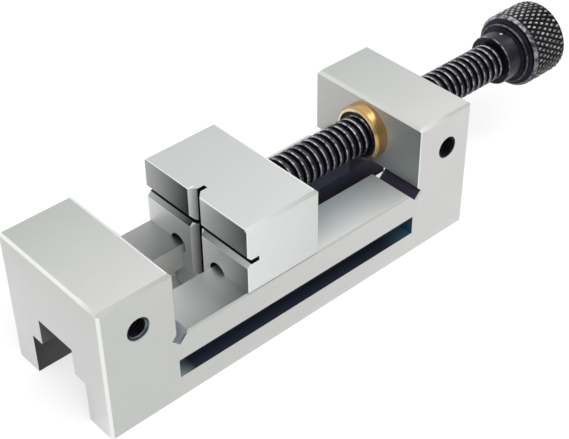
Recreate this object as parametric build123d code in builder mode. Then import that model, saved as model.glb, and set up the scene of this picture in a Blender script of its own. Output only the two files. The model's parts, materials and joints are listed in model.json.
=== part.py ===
from build123d import *
import os

# Precision grinding vise, 50 mm jaws.
# X runs from the fixed jaw's end face towards the knob, Y across the jaws, Z up from the base.
# The origin is at the foot of that end face, in the middle of the vise's width.
# The jaws stand part open, as the vise rests.

# Body
body_width = 50.0
bed_height = 25.0
jaw_height = 25.0
fixed_jaw_length = 26.5
bed_length = 103.5
rear_block_length = 24.5
edge_chamfer = 1.0
bed_edge_chamfer = 0.7
inner_edge_chamfer = 0.4

# Channels through the body, seen from its end
keeper_channel_width = 27.6
ledge_height = 15.5
tongue_slot_width = 15.2
end_pocket_width = 17.2
end_pocket_rise = 0.5
end_pocket_inset = 2.5

# Relief grooves at the feet of the fixed jaw and the rear block
foot_relief_width = 4.0
foot_relief_depth = 3.0
foot_relief_offset = 1.45

# Clamping slots along both sides
side_slot_length = 101.6
side_slot_height = 7.2
side_slot_rise = 8.0
side_slot_depth = 5.0

# Tapped holes in the near side
side_hole_radius = 4.0
side_hole_sink = 0.1
side_hole_rise = 11.8
stop_hole_inset = 13.2
stop_hole_depth = 14.0
lock_hole_inset = 13.4

# Movable jaw
rest_opening = 28.0
movable_jaw_length = 29.4
tongue_clearance = 0.05
sole_clearance = 0.02
across_v_rise = 12.0
across_v_mouth = 4.6
across_v_depth = 4.3
upright_v_mouth = 6.0
upright_v_depth = 4.8
v_slot_width = 1.6
sole_relief_radius = 3.6
sole_relief_offset = 2.3
sole_relief_drop = 1.0

# Keeper under the bed, its screws and washers
keeper_thickness = 10.0
keeper_clearance = 0.05
keeper_side_clearance = 0.3
keeper_end_inset = 0.6
keeper_web = 3.5
keeper_screw_radius = 2.5
keeper_screw_length = 16.0
keeper_screw_spacing = 13.8
keeper_head_radius = 4.25
keeper_head_height = 5.0
keeper_head_clearance = 0.35
keeper_hex = 4.0
keeper_hex_depth = 2.5
washer_radius = 4.1
washer_thickness = 1.3
shank_clearance = 0.25
tapped_hole_end = 1.5

# Screw, the pad it pushes on and the pin that pulls the jaw back
screw_rise = 13.0
thread_radius = 7.0
thread_length = 108.9
thread_end_chamfer = 1.2
journal_radius = 5.0
journal_length = 19.0
journal_tip_chamfer = 0.6
journal_clearance = 0.05
jaw_rear_clearance = 1.2
groove_inset = 5.0
groove_depth = 1.6
groove_clearance = 0.1
retaining_pin_radius = 2.0
thrust_pad_radius = 4.8
thrust_pad_thickness = 3.0
thrust_clearance = 0.05

# Brass nut, its wiper ring and its lock screw
nut_radius = 10.0
nut_projection = 4.9
nut_front_chamfer = 0.8
nut_rear_recess = 0.6
nut_mouth_radius = 8.4
nut_mouth_depth = 3.0
thread_clearance = 0.05
wiper_thickness = 2.4
wiper_clearance = 0.08
lock_screw_length = 9.5
lock_hex = 4.0
lock_hex_depth = 4.0
lock_flat_depth = 0.35
lock_flat_clearance = 0.1

# Knob
shoulder_radius = 9.3
shoulder_length = 7.6
collar_radius = 11.4
collar_length = 2.1
head_radius = 14.0
head_length = 16.7
head_front_chamfer = 0.8
head_rear_chamfer = 1.1
knob_hex = 8.0
knob_hex_depth = 8.0
spigot_radius = 5.0
spigot_length = 16.0
spigot_end_clearance = 0.3
knob_pin_radius = 1.5
knob_pin_inset = 4.9

# Room left round what is pressed or screwed in place
seat_clearance = 0.02

# Places that follow from the sizes above
half_width = body_width / 2
total_height = bed_height + jaw_height
rear_face_x = fixed_jaw_length + bed_length
body_length = rear_face_x + rear_block_length
screw_height = bed_height + screw_rise
side_hole_height = bed_height + side_hole_rise
lock_hole_x = rear_face_x + lock_hole_inset
jaw_front_x = fixed_jaw_length + rest_opening
jaw_rear_x = jaw_front_x + movable_jaw_length
tongue_width = tongue_slot_width - 2 * tongue_clearance
tongue_foot = ledge_height - keeper_clearance
keeper_foot = tongue_foot - keeper_thickness
washer_top = tongue_foot - keeper_web
head_top = washer_top - washer_thickness
thread_start_x = jaw_rear_x + jaw_rear_clearance
journal_tip_x = thread_start_x - journal_length
retaining_pin_x = journal_tip_x + groove_inset
groove_radius = journal_radius - groove_depth
groove_half_width = retaining_pin_radius + groove_clearance
pad_front_x = journal_tip_x - thrust_clearance - thrust_pad_thickness
nut_front_x = rear_face_x - nut_projection
nut_length = nut_projection + rear_block_length - nut_rear_recess
lock_flat_y = -(nut_radius - lock_flat_depth)
knob_front_x = thread_start_x + thread_length
knob_length = shoulder_length + collar_length + head_length
knob_pin_x = knob_front_x + knob_pin_inset
keeper_screw_places = [
    (retaining_pin_x - keeper_screw_spacing / 2, 0),
    (retaining_pin_x + keeper_screw_spacing / 2, 0),
]
screw_profile_plane = Plane(origin=(0, 0, screw_height), x_dir=(1, 0, 0), z_dir=(0, -1, 0))


def facing_rear(x):
    # Plane across the screw's axis that looks towards the knob.
    return Plane(origin=(x, 0, screw_height), x_dir=(0, 1, 0), z_dir=(1, 0, 0))


def facing_near_side(x, y, z):
    # Plane along the near side that looks out of it, for holes that go in.
    return Plane(origin=(x, y, z), x_dir=(1, 0, 0), z_dir=(0, -1, 0))


def at_bed_height(edges):
    margin = edge_chamfer / 2
    return edges.filter_by_position(Axis.Z, bed_height - margin, bed_height + margin)


def between_jaws(edges):
    margin = edge_chamfer / 2
    return edges.filter_by_position(Axis.X, fixed_jaw_length - margin, rear_face_x + margin)


def inclined_groove(mouth, angle, width, depth, reach):
    # Section of a straight groove that goes in at its mouth along the angle.
    with Locations(Location((mouth[0], mouth[1], 0), (0, 0, angle))):
        with Locations((-reach, 0)):
            Rectangle(reach + depth, width, align=(Align.MIN, Align.CENTER))


def v_groove(face, middle, mouth, slot, depth):
    # Section of a right-angled V that ends in a narrow slot, cut towards +X of its plane.
    Polygon(
        (face - mouth / 2, middle - mouth),
        (face + (mouth - slot) / 2, middle - slot / 2),
        (face + depth, middle - slot / 2),
        (face + depth, middle + slot / 2),
        (face + (mouth - slot) / 2, middle + slot / 2),
        (face - mouth / 2, middle + mouth),
        align=None,
    )


# Ground body: fixed jaw, bed and rear block in one piece
with BuildPart() as vise_body:
    with BuildSketch(Plane.XZ):
        with BuildLine():
            Polyline(
                (0, 0),
                (body_length, 0),
                (body_length, total_height),
                (rear_face_x, total_height),
                (rear_face_x, bed_height),
                (fixed_jaw_length, bed_height),
                (fixed_jaw_length, total_height),
                (0, total_height),
                close=True,
            )
        make_face()
    extrude(amount=half_width, both=True)
    base_edges = vise_body.edges().group_by(Axis.Z)[0]
    upper_edges = vise_body.edges() - base_edges
    foot_edges = at_bed_height(upper_edges).filter_by(Axis.Y)
    bed_side_edges = at_bed_height(upper_edges).filter_by(Axis.X)
    inner_edges = between_jaws(upper_edges).filter_by(Axis.Z)
    chamfer(upper_edges - foot_edges - bed_side_edges - inner_edges, length=edge_chamfer)
    chamfer(between_jaws(vise_body.edges()).filter_by(Axis.Z), length=inner_edge_chamfer)
    chamfer(at_bed_height(vise_body.edges()).filter_by(Axis.X), length=bed_edge_chamfer)

    # Relief grooves into the feet of the fixed jaw and the rear block
    with BuildSketch(Plane.XZ):
        inclined_groove(
            (fixed_jaw_length + foot_relief_offset, bed_height),
            -135,
            foot_relief_width,
            foot_relief_depth,
            foot_relief_width,
        )
        inclined_groove(
            (rear_face_x - foot_relief_offset, bed_height),
            -45,
            foot_relief_width,
            foot_relief_depth,
            foot_relief_width,
        )
    extrude(amount=half_width, both=True, mode=Mode.SUBTRACT)

    # Keeper channel, open below and at both ends
    with BuildSketch(Plane.YZ):
        Rectangle(keeper_channel_width, ledge_height, align=(Align.CENTER, Align.MIN))
    extrude(amount=body_length, mode=Mode.SUBTRACT)

    # Tongue slot along the bed, and the wider pockets at its ends
    with BuildSketch(Plane.YZ.offset(fixed_jaw_length - end_pocket_inset)):
        with Locations((0, ledge_height)):
            Rectangle(
                tongue_slot_width,
                bed_height + end_pocket_rise - ledge_height,
                align=(Align.CENTER, Align.MIN),
            )
    extrude(amount=bed_length + 2 * end_pocket_inset, mode=Mode.SUBTRACT)
    with BuildSketch(Plane.YZ) as end_pocket:
        with Locations((0, ledge_height)):
            Rectangle(
                end_pocket_width,
                bed_height + end_pocket_rise - ledge_height,
                align=(Align.CENTER, Align.MIN),
            )
    extrude(amount=fixed_jaw_length - end_pocket_inset, mode=Mode.SUBTRACT)
    with BuildSketch(Plane.YZ.offset(body_length)):
        add(end_pocket.sketch_local)
    extrude(amount=-(rear_block_length - end_pocket_inset), mode=Mode.SUBTRACT)

    # Clamping slots, one along each side
    for side in (-1, 1):
        with BuildSketch(Plane.XZ.offset(-side * half_width)):
            with Locations((fixed_jaw_length, side_slot_rise)):
                Rectangle(side_slot_length, side_slot_height, align=(Align.MIN, Align.MIN))
        extrude(amount=side * side_slot_depth, mode=Mode.SUBTRACT)

    # Bore for the nut
    with Locations(facing_rear(body_length)):
        Hole(radius=nut_radius + seat_clearance, depth=rear_block_length)

    # Tapped hole for a work stop, and the one for the nut's lock screw
    with Locations(facing_near_side(stop_hole_inset, -half_width, side_hole_height)):
        CounterSinkHole(side_hole_radius, side_hole_radius + side_hole_sink, stop_hole_depth, 90)
    with Locations(facing_near_side(lock_hole_x, -half_width, side_hole_height)):
        CounterSinkHole(side_hole_radius, side_hole_radius + side_hole_sink, half_width, 90)
vise_body.part.label = "vise_body"

# Movable jaw, with the tongue that runs in the bed
with BuildPart() as movable_jaw:
    with BuildSketch(Plane.XY.offset(bed_height + sole_clearance)):
        with Locations((jaw_front_x, 0)):
            Rectangle(movable_jaw_length, body_width, align=(Align.MIN, Align.CENTER))
    extrude(amount=jaw_height - sole_clearance)
    chamfer(movable_jaw.edges().group_by(Axis.Z)[-1].sort_by(Axis.X)[1:], length=edge_chamfer)
    front_edge = movable_jaw.edges().group_by(Axis.Z)[-1].sort_by(Axis.X)[0]
    chamfer(movable_jaw.edges().filter_by(Axis.Z) + [front_edge], length=inner_edge_chamfer)
    with BuildSketch(Plane.XY.offset(tongue_foot)):
        with Locations((jaw_front_x, 0)):
            Rectangle(movable_jaw_length, tongue_width, align=(Align.MIN, Align.CENTER))
    extrude(amount=bed_height + sole_clearance - tongue_foot)

    # Round relief where the sole meets the tongue
    with BuildSketch(Plane.YZ.offset(jaw_front_x)):
        for side in (-1, 1):
            with Locations(
                (
                    side * (tongue_slot_width / 2 + sole_relief_offset),
                    bed_height - sole_relief_drop,
                )
            ):
                Circle(sole_relief_radius)
    extrude(amount=movable_jaw_length, mode=Mode.SUBTRACT)

    # Crossing V grooves for round work, one across the face and one upright
    with BuildSketch(Plane.XZ):
        v_groove(
            jaw_front_x,
            bed_height + across_v_rise,
            across_v_mouth,
            v_slot_width,
            across_v_depth,
        )
    extrude(amount=half_width, both=True, mode=Mode.SUBTRACT)
    with BuildSketch(Plane.XY.offset(tongue_foot)):
        v_groove(jaw_front_x, 0, upright_v_mouth, v_slot_width, upright_v_depth)
    extrude(amount=total_height - tongue_foot, mode=Mode.SUBTRACT)

    # Blind bore for the screw's journal, with the retaining pin's hole up into it
    with Locations(facing_rear(jaw_rear_x)):
        Hole(radius=journal_radius + journal_clearance, depth=jaw_rear_x - pad_front_x)
    with BuildSketch(Plane.XY.offset(tongue_foot)):
        with Locations((retaining_pin_x, 0)):
            Circle(retaining_pin_radius + seat_clearance)
    extrude(amount=screw_height - tongue_foot, mode=Mode.SUBTRACT)

    # Tapped holes for the keeper's screws
    with BuildSketch(Plane.XY.offset(tongue_foot)):
        with Locations(*keeper_screw_places):
            Circle(keeper_screw_radius + seat_clearance)
    extrude(
        amount=keeper_screw_length - keeper_web - washer_thickness + tapped_hole_end,
        mode=Mode.SUBTRACT,
    )
movable_jaw.part.label = "movable_jaw"

# Keeper that holds the jaw down on the bed from below
with BuildPart() as keeper_plate:
    with BuildSketch(Plane.XY.offset(keeper_foot)):
        with Locations((jaw_front_x + keeper_end_inset, 0)):
            Rectangle(
                movable_jaw_length - 2 * keeper_end_inset,
                keeper_channel_width - 2 * keeper_side_clearance,
                align=(Align.MIN, Align.CENTER),
            )
    extrude(amount=keeper_thickness)
    chamfer(keeper_plate.edges(), length=edge_chamfer / 2)
    with Locations(*[Plane((x, y, keeper_foot), z_dir=(0, 0, -1)) for x, y in keeper_screw_places]):
        CounterBoreHole(
            radius=keeper_screw_radius + shank_clearance,
            counter_bore_radius=keeper_head_radius + keeper_head_clearance,
            counter_bore_depth=keeper_thickness - keeper_web,
            depth=keeper_thickness,
        )
keeper_plate.part.label = "keeper_plate"

# Socket head screws up into the tongue
with BuildPart() as keeper_screws:
    with BuildSketch(Plane.XY.offset(head_top)):
        with Locations(*keeper_screw_places):
            Circle(keeper_head_radius)
    extrude(amount=-keeper_head_height)
    chamfer(keeper_screws.edges().group_by(Axis.Z)[0], length=keeper_head_height / 12)
    with BuildSketch(Plane.XY.offset(head_top - keeper_head_height)):
        with Locations(*keeper_screw_places):
            RegularPolygon(keeper_hex / 2, 6, major_radius=False)
    extrude(amount=keeper_hex_depth, mode=Mode.SUBTRACT)
    with BuildSketch(Plane.XY.offset(head_top)):
        with Locations(*keeper_screw_places):
            Circle(keeper_screw_radius)
    extrude(amount=keeper_screw_length)
keeper_screws.part.label = "keeper_screws"

# Washers between their heads and the keeper
with BuildPart() as keeper_washers:
    with BuildSketch(Plane.XY.offset(head_top)):
        with Locations(*keeper_screw_places):
            Circle(washer_radius)
            Circle(keeper_screw_radius + shank_clearance, mode=Mode.SUBTRACT)
    extrude(amount=washer_thickness)
keeper_washers.part.label = "keeper_washers"

# Pin that stands on the keeper and reaches into the screw's groove
with BuildPart() as retaining_pin:
    with BuildSketch(Plane.XY.offset(tongue_foot)):
        with Locations((retaining_pin_x, 0)):
            Circle(retaining_pin_radius)
    extrude(amount=screw_height - groove_radius - groove_clearance - tongue_foot)
retaining_pin.part.label = "retaining_pin"

# Hard pad at the bottom of the jaw's bore
with BuildPart() as thrust_pad:
    with BuildSketch(facing_rear(pad_front_x)):
        Circle(thrust_pad_radius)
    extrude(amount=thrust_pad_thickness)
thrust_pad.part.label = "thrust_pad"

# Brass nut in the rear block, with a spot face for its lock screw
with BuildPart() as spindle_nut:
    with BuildSketch(facing_rear(nut_front_x)):
        Circle(nut_radius)
    extrude(amount=nut_length)
    chamfer(spindle_nut.edges().group_by(Axis.X)[0], length=nut_front_chamfer)
    chamfer(spindle_nut.edges().group_by(Axis.X)[-1], length=nut_front_chamfer / 2)
    with Locations(Plane(origin=(nut_front_x, 0, screw_height), z_dir=(-1, 0, 0))):
        CounterBoreHole(
            radius=thread_radius + thread_clearance,
            counter_bore_radius=nut_mouth_radius,
            counter_bore_depth=nut_mouth_depth,
            depth=nut_length,
        )
    with BuildSketch(facing_near_side(lock_hole_x, lock_flat_y, side_hole_height)):
        Circle(side_hole_radius + lock_flat_clearance)
    extrude(amount=nut_radius, mode=Mode.SUBTRACT)
spindle_nut.part.label = "spindle_nut"

# Wiper ring in the nut's mouth
with BuildPart() as nut_wiper_ring:
    with BuildSketch(facing_rear(nut_front_x + nut_mouth_depth)):
        Circle(nut_mouth_radius - seat_clearance)
        Circle(thread_radius + wiper_clearance, mode=Mode.SUBTRACT)
    extrude(amount=-wiper_thickness)
nut_wiper_ring.part.label = "nut_wiper_ring"

# Lock screw against the nut's spot face
with BuildPart() as nut_lock_screw:
    with BuildSketch(facing_near_side(lock_hole_x, lock_flat_y, side_hole_height)):
        Circle(side_hole_radius - seat_clearance)
    extrude(amount=lock_screw_length)
    chamfer(nut_lock_screw.edges().filter_by(GeomType.CIRCLE), length=side_hole_radius / 8)
    outer_end = lock_flat_y - lock_screw_length
    with BuildSketch(facing_near_side(lock_hole_x, outer_end, side_hole_height)):
        RegularPolygon(lock_hex / 2, 6, major_radius=False)
    extrude(amount=-lock_hex_depth, mode=Mode.SUBTRACT)
nut_lock_screw.part.label = "nut_lock_screw"

# Screw: journal with its groove, thread, and the spigot that carries the knob
with BuildPart() as spindle_screw:
    with BuildSketch(screw_profile_plane):
        with BuildLine():
            Polyline(
                (journal_tip_x, 0),
                (journal_tip_x, journal_radius - journal_tip_chamfer),
                (journal_tip_x + journal_tip_chamfer, journal_radius),
                (retaining_pin_x - groove_half_width, journal_radius),
                (retaining_pin_x - groove_half_width, groove_radius),
                (retaining_pin_x + groove_half_width, groove_radius),
                (retaining_pin_x + groove_half_width, journal_radius),
                (thread_start_x, journal_radius),
                (thread_start_x, thread_radius - thread_end_chamfer),
                (thread_start_x + thread_end_chamfer, thread_radius),
                (knob_front_x, thread_radius),
                (knob_front_x, spigot_radius),
                (knob_front_x + spigot_length, spigot_radius),
                (knob_front_x + spigot_length, 0),
                close=True,
            )
        make_face()
    revolve(axis=Axis((0, 0, screw_height), (1, 0, 0)))
    with BuildSketch(Plane.XY.offset(screw_height - spigot_radius)):
        with Locations((knob_pin_x, 0)):
            Circle(knob_pin_radius + seat_clearance)
    extrude(amount=2 * spigot_radius, mode=Mode.SUBTRACT)
spindle_screw.part.label = "spindle_screw"

# Knob: slim shoulder, collar and gripping head, hollow for the spigot and a hexagon key
with BuildPart() as knurled_knob:
    with BuildSketch(facing_rear(knob_front_x)):
        Circle(shoulder_radius)
    extrude(amount=shoulder_length)
    with BuildSketch(facing_rear(knob_front_x + shoulder_length)):
        Circle(collar_radius)
    extrude(amount=collar_length)
    with BuildSketch(facing_rear(knob_front_x + knob_length)):
        Circle(head_radius)
    extrude(amount=-head_length)
    rims = knurled_knob.edges().filter_by(GeomType.CIRCLE).group_by(SortBy.RADIUS)[-1]
    chamfer(rims.sort_by(Axis.X)[0], length=head_front_chamfer)
    chamfer(knurled_knob.edges().group_by(Axis.X)[-1], length=head_rear_chamfer)
    with Locations(Plane(origin=(knob_front_x, 0, screw_height), z_dir=(-1, 0, 0))):
        Hole(
            radius=spigot_radius + seat_clearance,
            depth=spigot_length + spigot_end_clearance,
        )
    with BuildSketch(facing_rear(knob_front_x + knob_length)):
        RegularPolygon(knob_hex / 2, 6, major_radius=False)
    extrude(amount=-knob_hex_depth, mode=Mode.SUBTRACT)
    with BuildSketch(Plane.XY.offset(screw_height - head_radius)):
        with Locations((knob_pin_x, 0)):
            Circle(knob_pin_radius + seat_clearance)
    extrude(amount=2 * head_radius, mode=Mode.SUBTRACT)
knurled_knob.part.label = "knurled_knob"

# Cross pin through the shoulder and the spigot
with BuildPart() as knob_pin:
    with BuildSketch(Plane.XY.offset(screw_height - shoulder_radius)):
        with Locations((knob_pin_x, 0)):
            Circle(knob_pin_radius)
    extrude(amount=2 * shoulder_radius)
knob_pin.part.label = "knob_pin"

os.makedirs("parts", exist_ok=True)
export_step(vise_body.part, "parts/vise_body.step")
export_step(movable_jaw.part, "parts/movable_jaw.step")
export_step(keeper_plate.part, "parts/keeper_plate.step")
export_step(keeper_screws.part, "parts/keeper_screws.step")
export_step(keeper_washers.part, "parts/keeper_washers.step")
export_step(retaining_pin.part, "parts/retaining_pin.step")
export_step(thrust_pad.part, "parts/thrust_pad.step")
export_step(spindle_nut.part, "parts/spindle_nut.step")
export_step(nut_wiper_ring.part, "parts/nut_wiper_ring.step")
export_step(nut_lock_screw.part, "parts/nut_lock_screw.step")
export_step(spindle_screw.part, "parts/spindle_screw.step")
export_step(knurled_knob.part, "parts/knurled_knob.step")
export_step(knob_pin.part, "parts/knob_pin.step")
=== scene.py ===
import json
import math

import bpy
from mathutils import Matrix, Vector


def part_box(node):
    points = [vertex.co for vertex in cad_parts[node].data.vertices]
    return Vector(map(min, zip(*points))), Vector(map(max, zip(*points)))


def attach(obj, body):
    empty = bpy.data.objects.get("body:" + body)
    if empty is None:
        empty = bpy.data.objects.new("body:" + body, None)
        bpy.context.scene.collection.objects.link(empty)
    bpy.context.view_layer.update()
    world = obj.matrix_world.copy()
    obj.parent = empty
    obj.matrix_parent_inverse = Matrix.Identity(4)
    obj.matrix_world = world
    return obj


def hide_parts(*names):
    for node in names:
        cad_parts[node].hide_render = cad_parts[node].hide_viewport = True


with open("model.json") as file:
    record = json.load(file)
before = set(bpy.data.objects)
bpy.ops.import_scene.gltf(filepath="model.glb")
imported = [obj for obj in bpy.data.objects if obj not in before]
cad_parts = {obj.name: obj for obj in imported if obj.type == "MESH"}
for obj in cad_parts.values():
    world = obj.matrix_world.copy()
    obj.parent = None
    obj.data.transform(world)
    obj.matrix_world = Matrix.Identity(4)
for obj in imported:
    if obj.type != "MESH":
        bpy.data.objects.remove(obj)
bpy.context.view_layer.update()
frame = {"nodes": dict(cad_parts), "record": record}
nodes = frame["nodes"]
print("frame loaded:", len(nodes), "CAD nodes")

mm = 0.001
joints = {joint["name"]: joint for joint in frame["record"]["behaviour"]["joints"]}
mounts = {mount["name"]: mount for mount in frame["record"]["mounts"]}
axisHeight = joints["spindle_turn"]["pos_m"][2] / mm  # the screw's axis above the base, mm


def lengthSpan(node):
    # where a CAD node begins and ends along X, mm
    low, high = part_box(node)
    return round(low[0] / mm, 2), round(high[0] / mm, 2)


jawFront, jawRear = lengthSpan("movable_jaw")
screwFront, screwRear = lengthSpan("spindle_screw")
knobFront, knobRear = lengthSpan("knurled_knob")
nutFront = lengthSpan("spindle_nut")[0]
pinFront, pinRear = lengthSpan("knob_pin")


# Camera, matched to the photograph's perspective

camera = {
    "place": (-0.13566, -0.25455, 0.29468),
    "heading": -41.789,  # degrees round the vertical
    "tilt": 51.088,  # from straight down
    "roll": -0.668,
    "lens": 82.65,
}


def addCamera(settings):
    data = bpy.data.cameras.new("photoCamera")
    data.lens = settings["lens"]
    data.sensor_width = 36
    data.sensor_fit = "HORIZONTAL"
    eye = bpy.data.objects.new("photoCamera", data)
    bpy.context.scene.collection.objects.link(eye)
    eye.matrix_world = (
        Matrix.Translation(settings["place"])
        @ Matrix.Rotation(math.radians(settings["heading"]), 4, "Z")
        @ Matrix.Rotation(math.radians(settings["tilt"]), 4, "X")
        @ Matrix.Rotation(math.radians(settings["roll"]), 4, "Z")
    )
    bpy.context.scene.camera = eye


addCamera(camera)
print("camera placed")


# Modelling helpers


def deselectAll():
    if bpy.context.object and bpy.context.object.mode != "OBJECT":
        bpy.ops.object.mode_set(mode="OBJECT")
    bpy.ops.object.select_all(action="DESELECT")


def applyModifier(piece, kind, **settings):
    # adds one modifier, sets it up and applies it
    deselectAll()
    bpy.context.view_layer.objects.active = piece
    piece.select_set(True)
    bpy.ops.object.modifier_add(type=kind)
    modifier = piece.modifiers[-1]
    for key, value in settings.items():
        setattr(modifier, key, value)
    bpy.ops.object.modifier_apply(modifier=modifier.name)


def drawChain(name, origin, points):
    # a chain of edges through points given from the origin, all in mm
    deselectAll()
    bpy.ops.mesh.primitive_plane_add(size=0.5 * mm, location=Vector(origin) * mm)
    piece = bpy.context.object
    piece.name = name
    bpy.ops.object.mode_set(mode="EDIT")
    bpy.ops.mesh.select_all(action="SELECT")
    bpy.ops.mesh.merge(type="CENTER")
    bpy.ops.transform.translate(value=Vector(points[0]) * mm)
    for here, there in zip(points, points[1:]):
        step = (Vector(there) - Vector(here)) * mm
        bpy.ops.mesh.extrude_vertices_move(TRANSFORM_OT_translate={"value": step})
    bpy.ops.object.mode_set(mode="OBJECT")
    return piece


def tidyMesh(piece, inward=False, gap=0.002):
    # merges what coincides and turns the faces one way
    deselectAll()
    bpy.context.view_layer.objects.active = piece
    piece.select_set(True)
    bpy.ops.object.mode_set(mode="EDIT")
    bpy.ops.mesh.select_all(action="SELECT")
    bpy.ops.mesh.remove_doubles(threshold=gap * mm)
    bpy.ops.mesh.normals_make_consistent(inside=inward)
    bpy.ops.object.mode_set(mode="OBJECT")


def turnPiece(name, outline, steps):
    # an outline of (x, radius) spun about the screw's axis
    piece = drawChain(name, (0, 0, axisHeight), [(x, 0, r) for x, r in outline])
    bpy.ops.object.transform_apply(location=True, rotation=True, scale=True)
    bpy.ops.object.mode_set(mode="EDIT")
    bpy.ops.mesh.select_all(action="SELECT")
    bpy.ops.mesh.spin(steps=steps, angle=math.tau, center=(0, 0, axisHeight * mm), axis=(1, 0, 0))
    bpy.ops.object.mode_set(mode="OBJECT")
    tidyMesh(piece)
    return piece


def sweepTurns(piece, axis, pitch, turns, steps):
    # screws a chain of edges about an axis through its origin, and a pitch of 0 closes it to a ring
    applyModifier(
        piece,
        "SCREW",
        axis=axis,
        angle=math.tau,
        screw_offset=pitch * mm,
        iterations=turns,
        steps=steps,
        render_steps=steps,
        use_merge_vertices=True,
        merge_threshold=0.001 * mm,
    )
    bpy.ops.object.transform_apply(location=True, rotation=True, scale=True)
    tidyMesh(piece)


def turnRing(name, origin, section, axis, steps):
    # a closed section turned into a ring about an axis through the origin
    ring = drawChain(name, origin, section + section[:1])
    sweepTurns(ring, axis, 0, 1, steps)
    return ring


def cutOff(piece, place, normal, fill=True):
    # takes away what lies beyond a plane on its normal's side
    deselectAll()
    bpy.context.view_layer.objects.active = piece
    piece.select_set(True)
    bpy.ops.object.mode_set(mode="EDIT")
    bpy.ops.mesh.select_all(action="SELECT")
    bpy.ops.mesh.bisect(
        plane_co=Vector(place) * mm, plane_no=normal, use_fill=fill, clear_outer=True, threshold=0.0000001
    )
    bpy.ops.object.mode_set(mode="OBJECT")


def smoothByAngle(piece, degrees):
    deselectAll()
    bpy.context.view_layer.objects.active = piece
    piece.select_set(True)
    bpy.ops.object.shade_smooth_by_angle(angle=math.radians(degrees))


# Lead screw: a 14 mm trapezoidal thread of 3 mm pitch, with its journal and spigot

leadScrew = {
    "pitch": 3.0,
    "crestRadius": 7.0,
    "rootRadius": 5.45,
    # lengths along the axis, from the front of a turn to its rear, and the two bevels' depths
    "frontFlank": 0.3,
    "frontBevel": (0.45, 0.28),
    "crestFlat": 0.75,
    "rearBevel": (0.12, 0.1),
    "rearFlank": 0.35,
    "front": jawRear + 1.2,
    "rear": knobFront,
    "leadIn": 1.2,
    "blankSlack": 0.05,  # between the crests and the blank that cuts the lead-in
    "phase": 0.3,  # slides the turns along the screw, mm
    "turnSteps": 48,
    "blankSteps": 96,
    "shaftSteps": 64,
    "smoothAngle": 28,
    # (x, radius) of the shaft inside it: tip, journal, the retaining pin's groove, and spigot
    "shaft": [
        (screwFront, 0),
        (screwFront, 4.4),
        (screwFront + 0.6, 5.0),
        (69.0, 5.0),
        (69.0, 3.4),
        (73.2, 3.4),
        (73.2, 5.0),
        (screwRear - 0.3, 5.0),
        (screwRear, 4.7),
        (screwRear, 0),
    ],
}


def makeLeadScrew(settings):
    pitch = settings["pitch"]
    crest, root = settings["crestRadius"], settings["rootRadius"]
    start = settings["front"] - 2 * pitch + settings["phase"]
    # one turn's outline, as steps along the axis and the radius that each ends on
    steps = [
        (settings["frontFlank"], crest - settings["frontBevel"][1]),
        (settings["frontBevel"][0], crest),
        (settings["crestFlat"], crest),
        (settings["rearBevel"][0], crest - settings["rearBevel"][1]),
        (settings["rearFlank"], root),
    ]
    x = (pitch - sum(length for length, radius in steps)) / 2
    outline = [(0.0, root), (x, root)]
    for length, radius in steps:
        x += length
        outline.append((x, radius))
    outline.append((pitch, root))
    thread = drawChain("leadScrew", (0, 0, axisHeight), [(start + x, 0, r) for x, r in outline])
    turns = math.ceil((settings["rear"] - start) / pitch) + 1
    sweepTurns(thread, "X", pitch, turns, settings["turnSteps"])
    cutOff(thread, (settings["front"], 0, 0), (-1, 0, 0))
    cutOff(thread, (settings["rear"], 0, 0), (1, 0, 0))
    tidyMesh(thread, gap=0.0005)

    # the first turn is turned down to a lead-in cone, by a blank that is 1 mm longer at both ends
    front, rear, lead = settings["front"] - 1, settings["rear"] + 1, settings["leadIn"] + 1
    slack = settings["blankSlack"]
    cone = [
        (front, 0),
        (front, crest - lead),
        (front + lead + slack, crest + slack),
        (rear, crest + slack),
        (rear, 0),
    ]
    blank = turnPiece("leadScrewBlank", cone, settings["blankSteps"])
    applyModifier(thread, "BOOLEAN", operation="INTERSECT", object=blank, solver="EXACT")
    bpy.data.objects.remove(blank)

    shaft = turnPiece("leadScrewShaft", settings["shaft"], settings["shaftSteps"])
    deselectAll()
    shaft.select_set(True)
    thread.select_set(True)
    bpy.context.view_layer.objects.active = thread
    bpy.ops.object.join()
    smoothByAngle(thread, settings["smoothAngle"])
    return thread


screwPiece = makeLeadScrew(leadScrew)
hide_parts("spindle_screw")
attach(screwPiece, "spindle")
print("lead screw:", len(screwPiece.data.polygons), "faces")


# Knob: turned shoulder and collar, and a head with a 30 degree diamond knurl

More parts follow.
